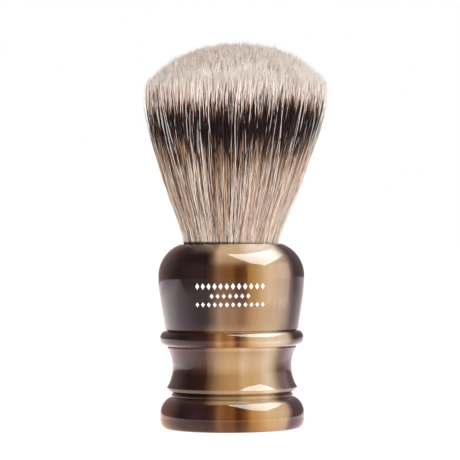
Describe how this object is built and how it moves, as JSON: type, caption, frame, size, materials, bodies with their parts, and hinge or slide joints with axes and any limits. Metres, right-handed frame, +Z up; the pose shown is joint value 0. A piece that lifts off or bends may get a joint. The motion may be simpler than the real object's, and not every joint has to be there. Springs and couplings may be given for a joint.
{
  "type": "shaving brush",
  "caption": "Shaving brush: a turned horn-effect resin handle with a hand-tied badger knot set in its top; the free hair bends sideways.",
  "frame": {"origin": "centre of the flat base the brush stands on", "axes": "+Z up along the handle's axis towards the hair tips; -Y is the front, the side with the printed decoration"},
  "size_m": [0.0491, 0.049, 0.1041],
  "materials": {
    "horn_resin": "polished cast resin with dark, amber and cream horn streaks",
    "adhesive": "set putty-like adhesive",
    "plug_resin": "set amber resin",
    "cord": "waxed twisted cord",
    "hair": "banded badger hair: beige shaft, dark band, off-white tips",
    "print": "thin white screen print"
  },
  "bodies": {
    "handle": {"handle": "horn_resin", "socket_adhesive": "adhesive", "resin_plug": "plug_resin", "binding_cord": "cord", "hair_roots": "hair"},
    "knot": {"hair_loft": "hair"}
  },
  "joints": [
    {"name": "knot_bend", "type": "hinge", "parent": "handle", "child": "knot", "pos_m": [0, 0, 0.0495], "axis": [0, 1, 0], "range_deg": [-30, 30], "stiffness_Nm_per_rad": 0.1}
  ]
}
